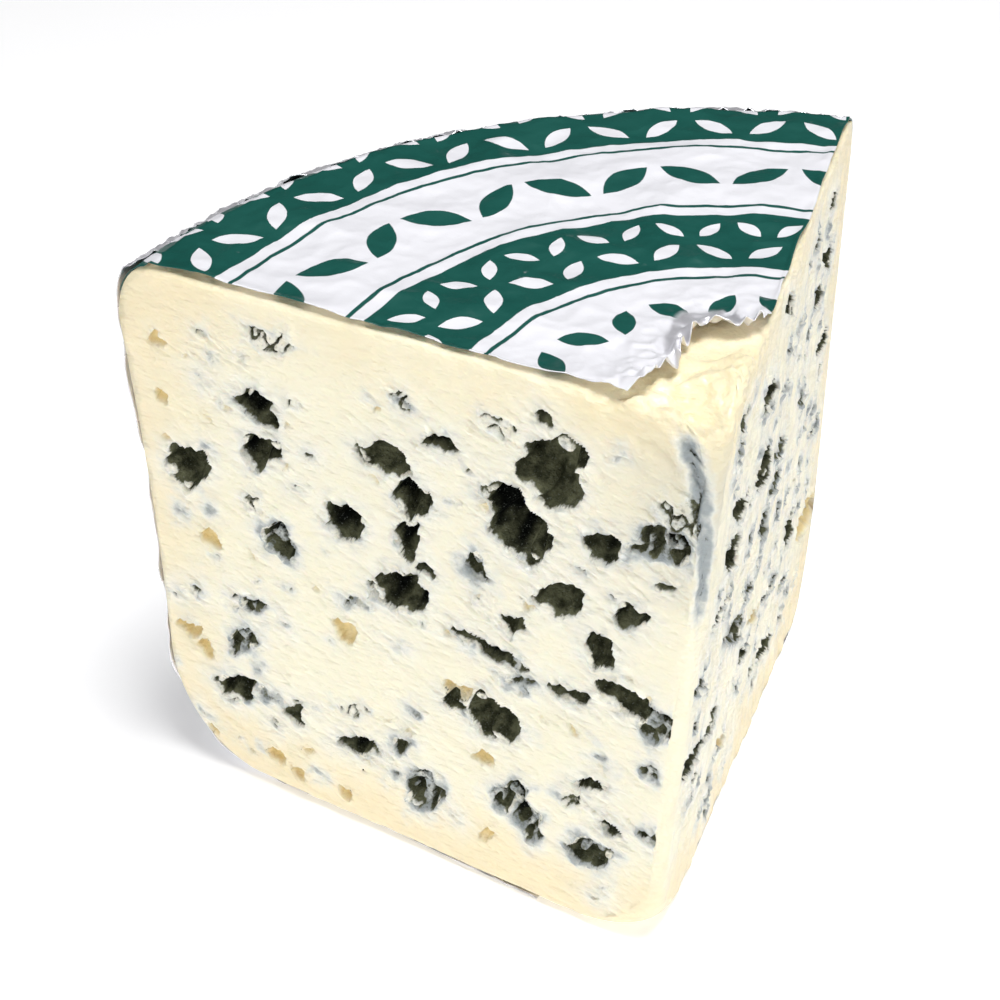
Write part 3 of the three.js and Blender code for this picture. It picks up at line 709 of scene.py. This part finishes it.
def cheese_mesh():
    """The paste as one closed surface.

    Outlines of the wedge are stacked from the base to the top. Each runs down the left cut, round the
    point, out along the right cut and back round the rind. At each end a quarter round leads onto a cap,
    whose outlines draw in towards a line under the middle of the wheel's top or base.
    """
    z = np.linspace(0, HEIGHT, WALL_ROWS + 1)
    left = cut_part(-1, LEFT_COLUMNS, z, 100, LEFT_HOLLOWS + pit_rows(5, LEFT_PIT, LEFT_PIT_KINDS))
    point = point_part(z)
    right = cut_part(1, RIGHT_COLUMNS, z, 900, RIGHT_HOLLOWS + pit_rows(6, RIGHT_PIT, RIGHT_PIT_KINDS))
    rind = rind_part(z)
    parts = (left, point, right, rind)
    x, y, level = (np.concatenate([part[i] for part in parts], axis=1) for i in range(3))
    values = {name: np.concatenate([part[3][name] for part in parts], axis=1) for name in PASTE_VALUES}

    # Round the two long edges, then draw the caps in
    hub_y = np.clip(0.8 * y, 0.018, 0.078)
    away = np.hypot(x, hub_y - y)
    from_end = np.minimum(z, HEIGHT - z)[:, None]
    short = np.clip(EDGE_ROUND - from_end, 0, None)
    inward = EDGE_ROUND - np.sqrt(np.clip(EDGE_ROUND**2 - short**2, 0, None))
    x = x - inward * x / away
    y = y + inward * (hub_y - y) / away
    share = (np.linspace(0, 1, CAP_ROWS + 1)[1:, None]) ** CAP_SPACING * CAP_REACH
    fade = np.exp(-CAP_FADE * share / share[-1])

    def cap(row):
        cap_x = lerp(x[row], 0 * x[row], share)
        cap_y = lerp(y[row], hub_y[row], share)
        return cap_x, cap_y, np.repeat(level[row][None, :], CAP_ROWS, axis=0)

    top = cap(-1)
    base = [rows[::-1] for rows in cap(0)]
    x = np.concatenate([base[0], x, top[0]])
    y = np.concatenate([base[1], y, top[1]])
    level = np.concatenate([base[2], level, top[2]])
    level = level + broken_top(x, y) * smooth(0.6 * HEIGHT, HEIGHT, level)
    for name, value in values.items():
        values[name] = np.concatenate([(value[0] * fade)[::-1], value, value[-1] * fade])

    rows, columns = x.shape
    places = np.stack([x, y, level], axis=-1).reshape(-1, 3)
    hubs = np.array([[0, CAP_HUB_Y, 0], [0, CAP_HUB_Y, HEIGHT]])
    places = np.concatenate([places, hubs]) + AXIS
    k, i = np.meshgrid(np.arange(rows - 1), np.arange(columns), indexing="ij")
    j = (i + 1) % columns
    low = k * columns
    high = low + columns
    quads = np.stack([low + i, low + j, high + j, high + i], axis=-1)
    ring = np.arange(columns)
    after = (ring + 1) % columns
    last = (rows - 1) * columns
    base_hub = np.full(columns, rows * columns)
    fans = np.concatenate([
        np.stack([base_hub, after, ring], axis=-1),
        np.stack([base_hub + 1, last + ring, last + after], axis=-1),
    ])
    faces = quads.reshape(-1, 4).tolist() + fans.tolist()
    flat = {name: np.append(value.reshape(-1), [0, 0]) for name, value in values.items()}
    flat["warm"] = warmth(places)
    flat["bare"] = broken_area(places)
    return places, faces, flat


def broken_area(places):
    """One on the bare broken top of the point, nought elsewhere."""
    x, y, z = (places - AXIS).T
    return smooth(0.024, 0.016, y) * smooth(HEIGHT - 0.010, HEIGHT - 0.002, z)


def warmth(places):
    """How peach or yellow the paste is: more towards the rind, the foot and the broken point."""
    x, y, z = (places - AXIS).T
    rind = smooth(0.074, 0.095, np.hypot(x, y))
    foot = smooth(0.020, 0.004, z)
    head = smooth(HEIGHT - 0.018, HEIGHT, z)
    return np.clip(0.8 * rind + 0.9 * foot + 0.6 * head + 0.25 * waves(x + y, z, 0.03, 51), 0, 1)


def new_object(name, places, faces, values, material, node):
    """A mesh object from its vertices and faces, with a named number on each vertex."""
    mesh = bpy.data.meshes.new(name)
    mesh.from_pydata(places.tolist(), [], faces)
    for key, value in values.items():
        attribute = mesh.attributes.new(key, "FLOAT", "POINT")
        attribute.data.foreach_set("value", value.astype(np.float32))
    mesh.materials.append(material)
    mesh.polygons.foreach_set("use_smooth", [True] * len(mesh.polygons))
    piece = bpy.data.objects.new(name, mesh)
    bpy.context.collection.objects.link(piece)
    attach(piece, "root")
    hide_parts(node)
    return piece


def cheese():
    """The paste; the triangles between the hollows are thinned out, those in and around them stay."""
    places, faces, values = cheese_mesh()
    free = np.flatnonzero(values.pop("kept") < 0.5)
    piece = new_object("blue_cheese", places, faces, values, paste_material(), "cheese")
    group = piece.vertex_groups.new(name="free")
    group.add(free.tolist(), 1.0, "REPLACE")
    fewer = piece.modifiers.new("fewer", "DECIMATE")
    fewer.ratio = PASTE_TRIANGLES / (2 * len(faces))
    fewer.vertex_group = "free"
    fewer.vertex_group_factor = 1.0


def foil_creases(x, y, seed):
    """The foil's own relief: flat facets between sharp folds, of three sizes, over a slow swell."""
    large = 0.00060 * creases(x, y, 0.020, seed)
    middle = 0.00032 * creases(x, y, 0.009, seed + 1)
    small = 0.00012 * creases(x, y, 0.0035, seed + 2)
    return large + middle + small + 0.00015 * waves(x, y, 0.014, seed + 3)


def foil_sheet(grid_x, grid_y, grid_z):
    """Vertices and faces of one open sheet over a grid, wound so that it faces out of the wheel."""
    rows, columns = grid_x.shape
    places = np.stack([grid_x, grid_y, grid_z], axis=-1).reshape(-1, 3) + AXIS
    k, i = np.meshgrid(np.arange(rows - 1), np.arange(columns - 1), indexing="ij")
    corner = k * columns + i
    quads = np.stack([corner, corner + 1, corner + columns + 1, corner + columns], axis=-1)
    return places, quads.reshape(-1, 4).tolist()


def thicken(piece, thickness):
    """Gives a sheet its thickness, outwards."""
    skin = piece.modifiers.new("thickness", "SOLIDIFY")
    skin.thickness = thickness
    skin.offset = 1


def fan_angles(columns):
    """Even angles across the wedge, seen from the wheel's axis."""
    return np.linspace(-HALF_ANGLE, HALF_ANGLE, columns)[None, :]


def top_foil():
    """The printed foil: rays from the tear to the rim and over the shoulder, creased, with a torn border."""
    columns = 250
    flat_rows = 170
    shoulder_rows = 10
    angle = fan_angles(columns)
    flat_radius = RIM_RADIUS - TOP_SHOULDER_INWARD
    rim_x = flat_radius * np.sin(angle)
    rim_y = flat_radius * np.cos(angle)
    tear_x, tear_y = np.array(TEAR_LINE).T
    start_x = rim_x * 0.15
    for _ in range(4):
        start_y = np.interp(start_x, tear_x, tear_y) + 0.0006 * waves(start_x, start_x * 0, 0.0018, 61)
        start_x = lerp(POINT_AT_TOP[0], rim_x, (start_y - POINT_AT_TOP[1]) / (rim_y - POINT_AT_TOP[1]))
    t = (np.linspace(0, 1, flat_rows) ** 1.15)[:, None]
    x = lerp(start_x, rim_x, t)
    y = lerp(start_y, rim_y, t)

    # Creases all over, and a crumpled border at the tear
    z = HEIGHT + FOIL_CLEAR + foil_creases(x, y, 62)
    from_tear = np.hypot(x - start_x, y - start_y)
    crumpled = np.exp(-from_tear / TEAR_CRUMPLE) * smooth(-0.022, -0.004, x)
    z = z + crumpled * (0.0003 + 0.0024 * creases(x, y, 0.0040, 65) + 0.0006 * waves(x, y, 0.0016, 69))
    y = y + crumpled * 0.0014 * waves(x, y, 0.003, 66)
    silver = crumpled * smooth(-0.004, 0.000, x) * smooth(0.013, 0.009, x) * 2.2
    silver = np.clip(silver, 0, 1)

    # The borders on the cuts lie a little back from them, unevenly
    edge_left = smooth(0.03, 0, (angle + HALF_ANGLE))
    edge_right = smooth(0.03, 0, (HALF_ANGLE - angle))
    x = x + (edge_left - edge_right) * (0.0005 + 0.0004 * waves(y, y * 0, 0.005, 67))
    z = z + (edge_left + edge_right) * 0.0002 * (1 + waves(y, x, 0.004, 68))

    turn = (np.linspace(0, math.radians(60), shoulder_rows + 1)[1:])[:, None]
    lift = FOIL_CLEAR + 0.00010 * smooth(0.6, 0, turn)
    r = flat_radius + (TOP_SHOULDER_INWARD + lift) * np.sin(turn)
    over_z = HEIGHT - TOP_SHOULDER_DOWN + (TOP_SHOULDER_DOWN + lift) * np.cos(turn)
    x = np.concatenate([x, r * np.sin(angle)])
    y = np.concatenate([y, r * np.cos(angle)])
    z = np.concatenate([z, over_z + 0 * angle])
    silver = np.concatenate([silver, np.zeros((shoulder_rows, columns))])
    places, faces = foil_sheet(x, y, z)
    values = {"silver": silver.reshape(-1)}
    material = printed_foil_material()
    piece = new_object("printed_foil", places, faces, values, material, "top_foil")
    thicken(piece, FOIL_SKIN)


def side_foil():
    """The plain foil: a profile from the collar over the shoulder, down the rind and under the base."""
    columns = 280
    wall_rows = 120
    base_rows = 35
    angle = fan_angles(columns)
    arc_row = angle * RIM_RADIUS
    collar_rows = 15
    collar_from = COLLAR_FROM + math.radians(7) * waves(arc_row, arc_row * 0, 0.013, 77)
    collar_from = collar_from + math.radians(4) * waves(arc_row, arc_row * 0, 0.004, 78)
    turn = lerp(collar_from, math.pi / 2, np.linspace(0, 1, collar_rows)[:, None])
    outside = FOIL_CLEAR + FOIL_SKIN + FOIL_LAP
    drop = CHEESE_LOW[2] - FOIL_SKIN
    collar_r = RIM_RADIUS - TOP_SHOULDER_INWARD + (TOP_SHOULDER_INWARD + outside) * np.sin(turn)
    collar_z = HEIGHT - TOP_SHOULDER_DOWN + (TOP_SHOULDER_DOWN + outside) * np.cos(turn)
    wall_z = np.linspace(HEIGHT - TOP_SHOULDER_DOWN, 0, wall_rows)[1:, None]
    low = np.clip(wall_z / BASE_SHOULDER_UP, 0, 1)
    wall_r = rind_radius(wall_z) + outside * np.sqrt(low)
    wall_z = wall_z - drop * (1 - low)
    base_radius = WAIST_RADIUS - BASE_SHOULDER_INWARD
    base_r = np.linspace(base_radius, BASE_REACH * base_radius, base_rows)[1:, None]
    r = np.concatenate([collar_r, wall_r + 0 * angle, base_r + 0 * angle])
    z = np.concatenate([collar_z, wall_z + 0 * angle, 0 * base_r - drop + 0 * angle])

    # Creases on the wall, a ragged collar, and folds gathered round the foot
    arc = arc_row + 0 * r
    middle = columns // 2
    steps = np.hypot(np.diff(r[:, middle], prepend=r[0, middle]), np.diff(z[:, middle], prepend=z[0, middle]))
    run = np.cumsum(steps)[:, None] + 0 * arc
    on_wall = smooth(-0.0002, 0.004, z)
    relief = 1.1 * foil_creases(arc * 1.2, run * 0.7, 71)
    fringe = smooth(0.006, 0, run) * creases(arc * 1.5, run, 0.0045, 74)
    relief = relief + 0.0007 * fringe
    z = z - 0.0010 * smooth(0.004, 0, run) + 0.0006 * fringe
    gathered = smooth(0.030, 0.012, z)
    relief = relief + gathered * 0.0006 * creases(arc * 1.6, run * 0.3, 0.005, 75)
    r = r + on_wall * relief
    retreat = 0.0009 + 0.0006 * waves(run, run * 0, 0.006, 79)
    edge = smooth(0.02, 0, angle + HALF_ANGLE) - smooth(0.02, 0, HALF_ANGLE - angle)
    arc_turn = angle + edge * retreat / np.maximum(r, 0.02)
    under = smooth(0.0, -drop, z) * np.clip(1 - r / base_radius, 0, 1)
    place_x = r * np.sin(arc_turn) + under * POINT_AT_BASE[0]
    place_y = r * np.cos(arc_turn) + under * POINT_AT_BASE[1]
    places, faces = foil_sheet(place_x, place_y, z)
    piece = new_object("plain_foil", places, faces, {}, plain_foil_material(), "side_foil")
    thicken(piece, FOIL_SKIN)


class Shader:
    """A material's nodes, with a short call for each kind that is used here."""

    def __init__(self, name):
        self.material = bpy.data.materials.new(name)
        self.material.use_nodes = True
        self.tree = self.material.node_tree
        self.surface = self.tree.nodes["Principled BSDF"]
        coordinates = self.tree.nodes.new("ShaderNodeTexCoord")
        self.place = coordinates.outputs["Object"]

    def feed(self, socket, value):
        if isinstance(value, bpy.types.NodeSocket):
            self.tree.links.new(value, socket)
        else:
            socket.default_value = value

    def set(self, name, value):
        """Sets one input of the surface, to a value of its own or to another node's output."""
        self.feed(self.surface.inputs[name], value)

    def math(self, operation, a, b=0.0, c=0.0):
        node = self.tree.nodes.new("ShaderNodeMath")
        node.operation = operation
        for socket, value in zip(node.inputs, (a, b, c)):
            self.feed(socket, value)
        return node.outputs[0]

    def mix(self, amount, first, second):
        """Mixes two colours, which are inputs 6 and 7 of the node and its output 2."""
        node = self.tree.nodes.new("ShaderNodeMix")
        node.data_type = "RGBA"
        self.feed(node.inputs["Factor"], amount)
        self.feed(node.inputs[6], first)
        self.feed(node.inputs[7], second)
        return node.outputs[2]

    def number(self, amount, first, second):
        """Mixes two plain numbers."""
        node = self.tree.nodes.new("ShaderNodeMix")
        node.data_type = "FLOAT"
        self.feed(node.inputs[0], amount)
        self.feed(node.inputs[2], first)
        self.feed(node.inputs[3], second)
        return node.outputs[0]

    def step(self, value, low, high):
        """An even S from nought at low to one at high."""
        node = self.tree.nodes.new("ShaderNodeMapRange")
        node.interpolation_type = "SMOOTHSTEP"
        self.feed(node.inputs["Value"], value)
        node.inputs["From Min"].default_value = low
        node.inputs["From Max"].default_value = high
        return node.outputs["Result"]

    def noise(self, size, detail=3.0, stretch=None):
        node = self.tree.nodes.new("ShaderNodeTexNoise")
        node.inputs["Scale"].default_value = 1 / size
        node.inputs["Detail"].default_value = detail
        place = self.place
        if stretch:
            mapping = self.tree.nodes.new("ShaderNodeMapping")
            mapping.inputs["Scale"].default_value = stretch
            self.tree.links.new(place, mapping.inputs["Vector"])
            place = mapping.outputs["Vector"]
        self.tree.links.new(place, node.inputs["Vector"])
        return node.outputs["Fac"]

    def facets(self, size):
        """Distance from the middles of scattered cells, for folds between flat faces."""
        node = self.tree.nodes.new("ShaderNodeTexVoronoi")
        node.feature = "F1"
        node.inputs["Scale"].default_value = 1 / size
        self.tree.links.new(self.place, node.inputs["Vector"])
        return node.outputs["Distance"]

    def attribute(self, name):
        node = self.tree.nodes.new("ShaderNodeAttribute")
        node.attribute_name = name
        return node.outputs["Fac"]

    def bump(self, height, distance, strength=1.0, under=None):
        node = self.tree.nodes.new("ShaderNodeBump")
        node.inputs["Distance"].default_value = distance
        self.feed(node.inputs["Strength"], strength)
        self.feed(node.inputs["Height"], height)
        if under:
            self.feed(node.inputs["Normal"], under)
        return node.outputs["Normal"]

    def polar(self, centre):
        """Radius and angle about a centre on the wheel's axis frame, the angle from +Y towards +X."""
        node = self.tree.nodes.new("ShaderNodeSeparateXYZ")
        self.tree.links.new(self.place, node.inputs[0])
        x = self.math("SUBTRACT", node.outputs[0], float(AXIS[0] + centre[0]))
        y = self.math("SUBTRACT", node.outputs[1], float(AXIS[1] + centre[1]))
        squares = self.math("ADD", self.math("MULTIPLY", x, x), self.math("MULTIPLY", y, y))
        return self.math("SQRT", squares), self.math("ARCTAN2", x, y)

    def below(self, value, limit, soft=0.00008):
        """One where the value stays under the limit, with a slightly soft edge."""
        return self.step(value, limit + soft, limit - soft)

    def between(self, value, middle, half):
        return self.below(self.math("ABSOLUTE", self.math("SUBTRACT", value, middle)), half)

    def either(self, *masks):
        result = masks[0]
        for mask in masks[1:]:
            result = self.math("MAXIMUM", result, mask)
        return result

    def both(self, *masks):
        result = masks[0]
        for mask in masks[1:]:
            result = self.math("MULTIPLY", result, mask)
        return result


def paste_material():
    """Ivory paste: warmer at the rind, ochre in dry pits, blue-grey round the hollows, dark mould in them,
    with painted shade blackening their upper insides and pale specks painted as glints on the mould.
    """
    s = Shader("paste")
    glint_noise = s.noise(0.00028, 1.0)
    fine = s.noise(0.0006, 2.0)
    middle = s.noise(0.0022, 3.0)
    coarse = s.noise(0.009, 2.0)
    smear = s.noise(0.0030, 3.0, (1.0, 1.0, 3.5))
    near = s.attribute("halo")
    veil = s.attribute("veil")
    worn = s.attribute("worn")
    deep = s.attribute("cover")
    uneven = s.math("SUBTRACT", fine, 0.5)
    cover = s.step(s.math("MULTIPLY_ADD", uneven, 0.0006, deep), 0.00008, 0.00045)
    patch = s.step(s.math("MULTIPLY_ADD", uneven, 0.5, s.attribute("mould")), 0.30, 0.52)
    mould = s.both(cover, patch)
    halo = s.math("MULTIPLY_ADD", s.math("SUBTRACT", middle, 0.5), 1.1, near)
    ochre = s.both(s.step(s.attribute("ochre"), 0.40, 1.0), s.step(deep, 0.0, 0.0009))
    warm_sum = s.math("MULTIPLY_ADD", s.math("SUBTRACT", coarse, 0.5), 0.5, s.attribute("warm"))
    base = s.mix(s.step(warm_sum, 0.0, 1.1), PASTE, PASTE_WARM)
    base = s.mix(s.math("MULTIPLY", s.step(veil, 0.10, 0.80), 0.75), base, PASTE_WHITE)
    # Greyer, darker beige towards the upper point
    base = s.mix(s.math("MULTIPLY", worn, 0.7), base, TIP_GREY)
    base = s.mix(s.math("MULTIPLY", s.attribute("bare"), s.number(middle, 0.15, 0.75)), base, BUTTER)
    base = s.mix(s.math("MULTIPLY", ochre, 0.85), base, OCHRE)
    base = s.mix(s.math("MULTIPLY", s.step(halo, 0.20, 0.90), 0.85), base, HALO_PALE)
    smudge = s.both(s.step(smear, 0.48, 0.72), s.step(veil, 0.25, 0.90))
    base = s.mix(s.math("MULTIPLY", smudge, 0.30), base, HALO_GREY)
    base = s.mix(s.math("MULTIPLY", s.step(halo, 0.62, 1.10), 0.90), base, HALO_GREY)
    dark = s.mix(s.step(middle, 0.35, 0.65), MOULD_DARK, MOULD_LIGHT)
    # Painted shade: the mould turns black where the painted shade mask is set
    dark = s.mix(s.attribute("dim"), dark, PAINTED_SHADE_BLACK)
    # Painted glints: fine pale specks scattered over the mould
    dark = s.mix(s.math("MULTIPLY", s.step(glint_noise, 0.62, 0.74), 0.35), dark, PAINTED_GLINT)
    s.set("Base Color", s.mix(mould, base, dark))
    polish = s.number(near, s.number(middle, 0.34, 0.52), 0.30)
    s.set("Roughness", s.number(mould, polish, 0.80))
    s.set("Specular IOR Level", 0.08)
    s.set("Coat Weight", s.number(mould, s.number(near, 0.35, 0.70), 0.0))
    s.set("Coat Roughness", 0.20)
    s.set("Subsurface Weight", s.number(mould, 0.25, 0.0))
    s.set("Subsurface Radius", (1.0, 0.75, 0.45))
    s.set("Subsurface Scale", 0.0015)
    rough = s.number(near, s.math("MULTIPLY", fine, 0.4), s.math("MULTIPLY", fine, 1.3))
    grain = s.bump(rough, 0.00030, 0.8)
    lumps = s.bump(middle, 0.00050, 0.7, grain)
    s.set("Normal", s.bump(smear, 0.00060, 0.8, lumps))
    return s.material


def leaf(s, radius, angle, ring, pitch, length, width, tilt):
    """One row of pointed leaves round a centre: each cell of the angle holds one, turned to and fro."""
    cell = s.math("DIVIDE", angle, pitch)
    number = s.math("FLOOR", cell)
    side = s.math("MULTIPLY_ADD", s.math("PINGPONG", number, 1.0), 2 * math.sin(tilt), -math.sin(tilt))
    across = s.math("MULTIPLY", s.math("SUBTRACT", s.math("SUBTRACT", cell, number), 0.5), pitch * ring)
    out = s.math("SUBTRACT", radius, ring)
    cos = math.cos(tilt)
    wide = s.math("SUBTRACT", s.math("MULTIPLY", across, cos), s.math("MULTIPLY", out, side))
    long = s.math("ADD", s.math("MULTIPLY", out, cos), s.math("MULTIPLY", across, side))
    long = s.math("DIVIDE", long, length / 2)
    wide = s.math("DIVIDE", s.math("ABSOLUTE", wide), width / 2)
    shape = s.math("MULTIPLY_ADD", long, long, wide)
    return s.step(shape, 1.04, 0.96)


def printed_foil_material():
    """Foil printed with rings of leaves: white leaves on green rings, green leaves on white rings."""
    s = Shader("printed_foil")
    radius, angle = s.polar(PRINT_CENTRE)
    inner_middle = (INNER_GREEN_LOW + INNER_GREEN_HIGH) / 2
    inner_half = (INNER_GREEN_HIGH - INNER_GREEN_LOW) / 2
    outer_ground = s.math("SUBTRACT", 1.0, s.below(radius, OUTER_GREEN_FROM))
    ground = s.either(outer_ground, s.between(radius, inner_middle, inner_half))
    leaves = s.either(*(
        leaf(s, radius, angle, ring, math.radians(pitch), length, width, math.radians(tilt))
        for ring, pitch, length, width, tilt in LEAF_ROWS
    ))
    lines = s.either(*(s.between(radius, ring, LINE_HALF) for ring in LINE_RINGS))
    green = s.math("ABSOLUTE", s.math("SUBTRACT", ground, s.either(leaves, lines)))
    silver = s.step(s.attribute("silver"), 0.35, 0.55)
    wear = s.step(s.noise(0.004, 4.0), 0.70, 0.78)
    tone = s.mix(s.noise(0.006, 3.0), PRINT_GREEN, PRINT_GREEN_PALE)
    colour = s.mix(green, PRINT_WHITE, tone)
    colour = s.mix(s.math("MULTIPLY", wear, s.math("MULTIPLY", green, 0.35)), colour, PRINT_WHITE)
    s.set("Base Color", s.mix(silver, colour, SILVER))
    s.set("Metallic", s.math("MULTIPLY", silver, 0.6))
    s.set("Roughness", s.number(green, 0.45, s.number(s.noise(0.012, 2.0), 0.26, 0.42)))
    s.set("Specular IOR Level", 0.60)
    crinkle = s.bump(s.facets(0.0085), 0.0014, s.number(green, 0.20, 0.50))
    s.set("Normal", s.bump(s.noise(0.0025, 3.0), 0.0003, 0.4, crinkle))
    return s.material


def plain_foil_material():
    """Bare foil: bright metal with an uneven polish and flat facets between small creases."""
    s = Shader("plain_foil")
    s.set("Base Color", SILVER)
    s.set("Metallic", 0.55)
    s.set("Roughness", s.number(s.noise(0.01, 3.0), 0.20, 0.34))
    crinkle = s.bump(s.facets(0.0090), 0.0011, 0.45)
    s.set("Normal", s.bump(s.noise(0.0030, 3.0), 0.0002, 0.3, crinkle))
    return s.material


def floor():
    """A plain pale floor that glows a little, so that it comes out nearly white."""
    mesh = bpy.data.meshes.new("floor")
    signs = [(-1, -1), (1, -1), (1, 1), (-1, 1)]
    corners = [(a * FLOOR_HALF, b * FLOOR_HALF, 0) for a, b in signs]
    mesh.from_pydata(corners, [], [(0, 1, 2, 3)])
    s = Shader("floor")
    s.set("Base Color", (0.93, 0.93, 0.94, 1))
    s.set("Roughness", 0.9)
    s.set("Emission Color", (1, 1, 1, 1))
    s.set("Emission Strength", 0.32)
    mesh.materials.append(s.material)
    piece = bpy.data.objects.new("floor", mesh)
    bpy.context.collection.objects.link(piece)


def light(name, place, power):
    """A square lamp that faces the wedge."""
    data = bpy.data.lights.new(name, "AREA")
    data.shape = "SQUARE"
    data.size = LAMP_SIZE
    data.energy = power
    lamp = bpy.data.objects.new(name, data)
    bpy.context.collection.objects.link(lamp)
    lamp.location = place
    direction = np.array(LAMP_AIM) - np.array(place)
    flat = math.hypot(direction[0], direction[1])
    lamp.rotation_euler = (math.atan2(flat, -direction[2]), 0, math.atan2(-direction[0], direction[1]))


def studio():
    """Soft white studio: a world that is brighter overhead, a lamp above, and fill from both sides."""
    scene = bpy.context.scene
    world = bpy.data.worlds.new("studio")
    world.use_nodes = True
    tree = world.node_tree
    background = tree.nodes["Background"]
    place = tree.nodes.new("ShaderNodeTexCoord")
    split = tree.nodes.new("ShaderNodeSeparateXYZ")
    tree.links.new(place.outputs["Generated"], split.inputs[0])
    rise = tree.nodes.new("ShaderNodeMapRange")
    rise.inputs["From Min"].default_value = -0.1
    rise.inputs["From Max"].default_value = 0.9
    rise.inputs["To Min"].default_value = 0.38
    rise.inputs["To Max"].default_value = 0.80
    tree.links.new(split.outputs[2], rise.inputs["Value"])
    tree.links.new(rise.outputs["Result"], background.inputs["Strength"])
    scene.world = world
    for name, lamp_place, power in LAMPS:
        light(name, lamp_place, power)
    scene.view_settings.view_transform = "Standard"


def camera():
    """The view of the photograph."""
    data = bpy.data.cameras.new("camera")
    data.lens = CAMERA_LENS
    data.sensor_width = SENSOR
    piece = bpy.data.objects.new("camera", data)
    bpy.context.collection.objects.link(piece)
    piece.location = (CAMERA_AT[0] + AXIS[0], CAMERA_AT[1] + AXIS[1], CAMERA_AT[2])
    piece.rotation_euler = (math.pi / 2 - CAMERA_PITCH, 0, -CAMERA_YAW)
    bpy.context.scene.camera = piece


camera()
studio()
floor()
cheese()
top_foil()
side_foil()
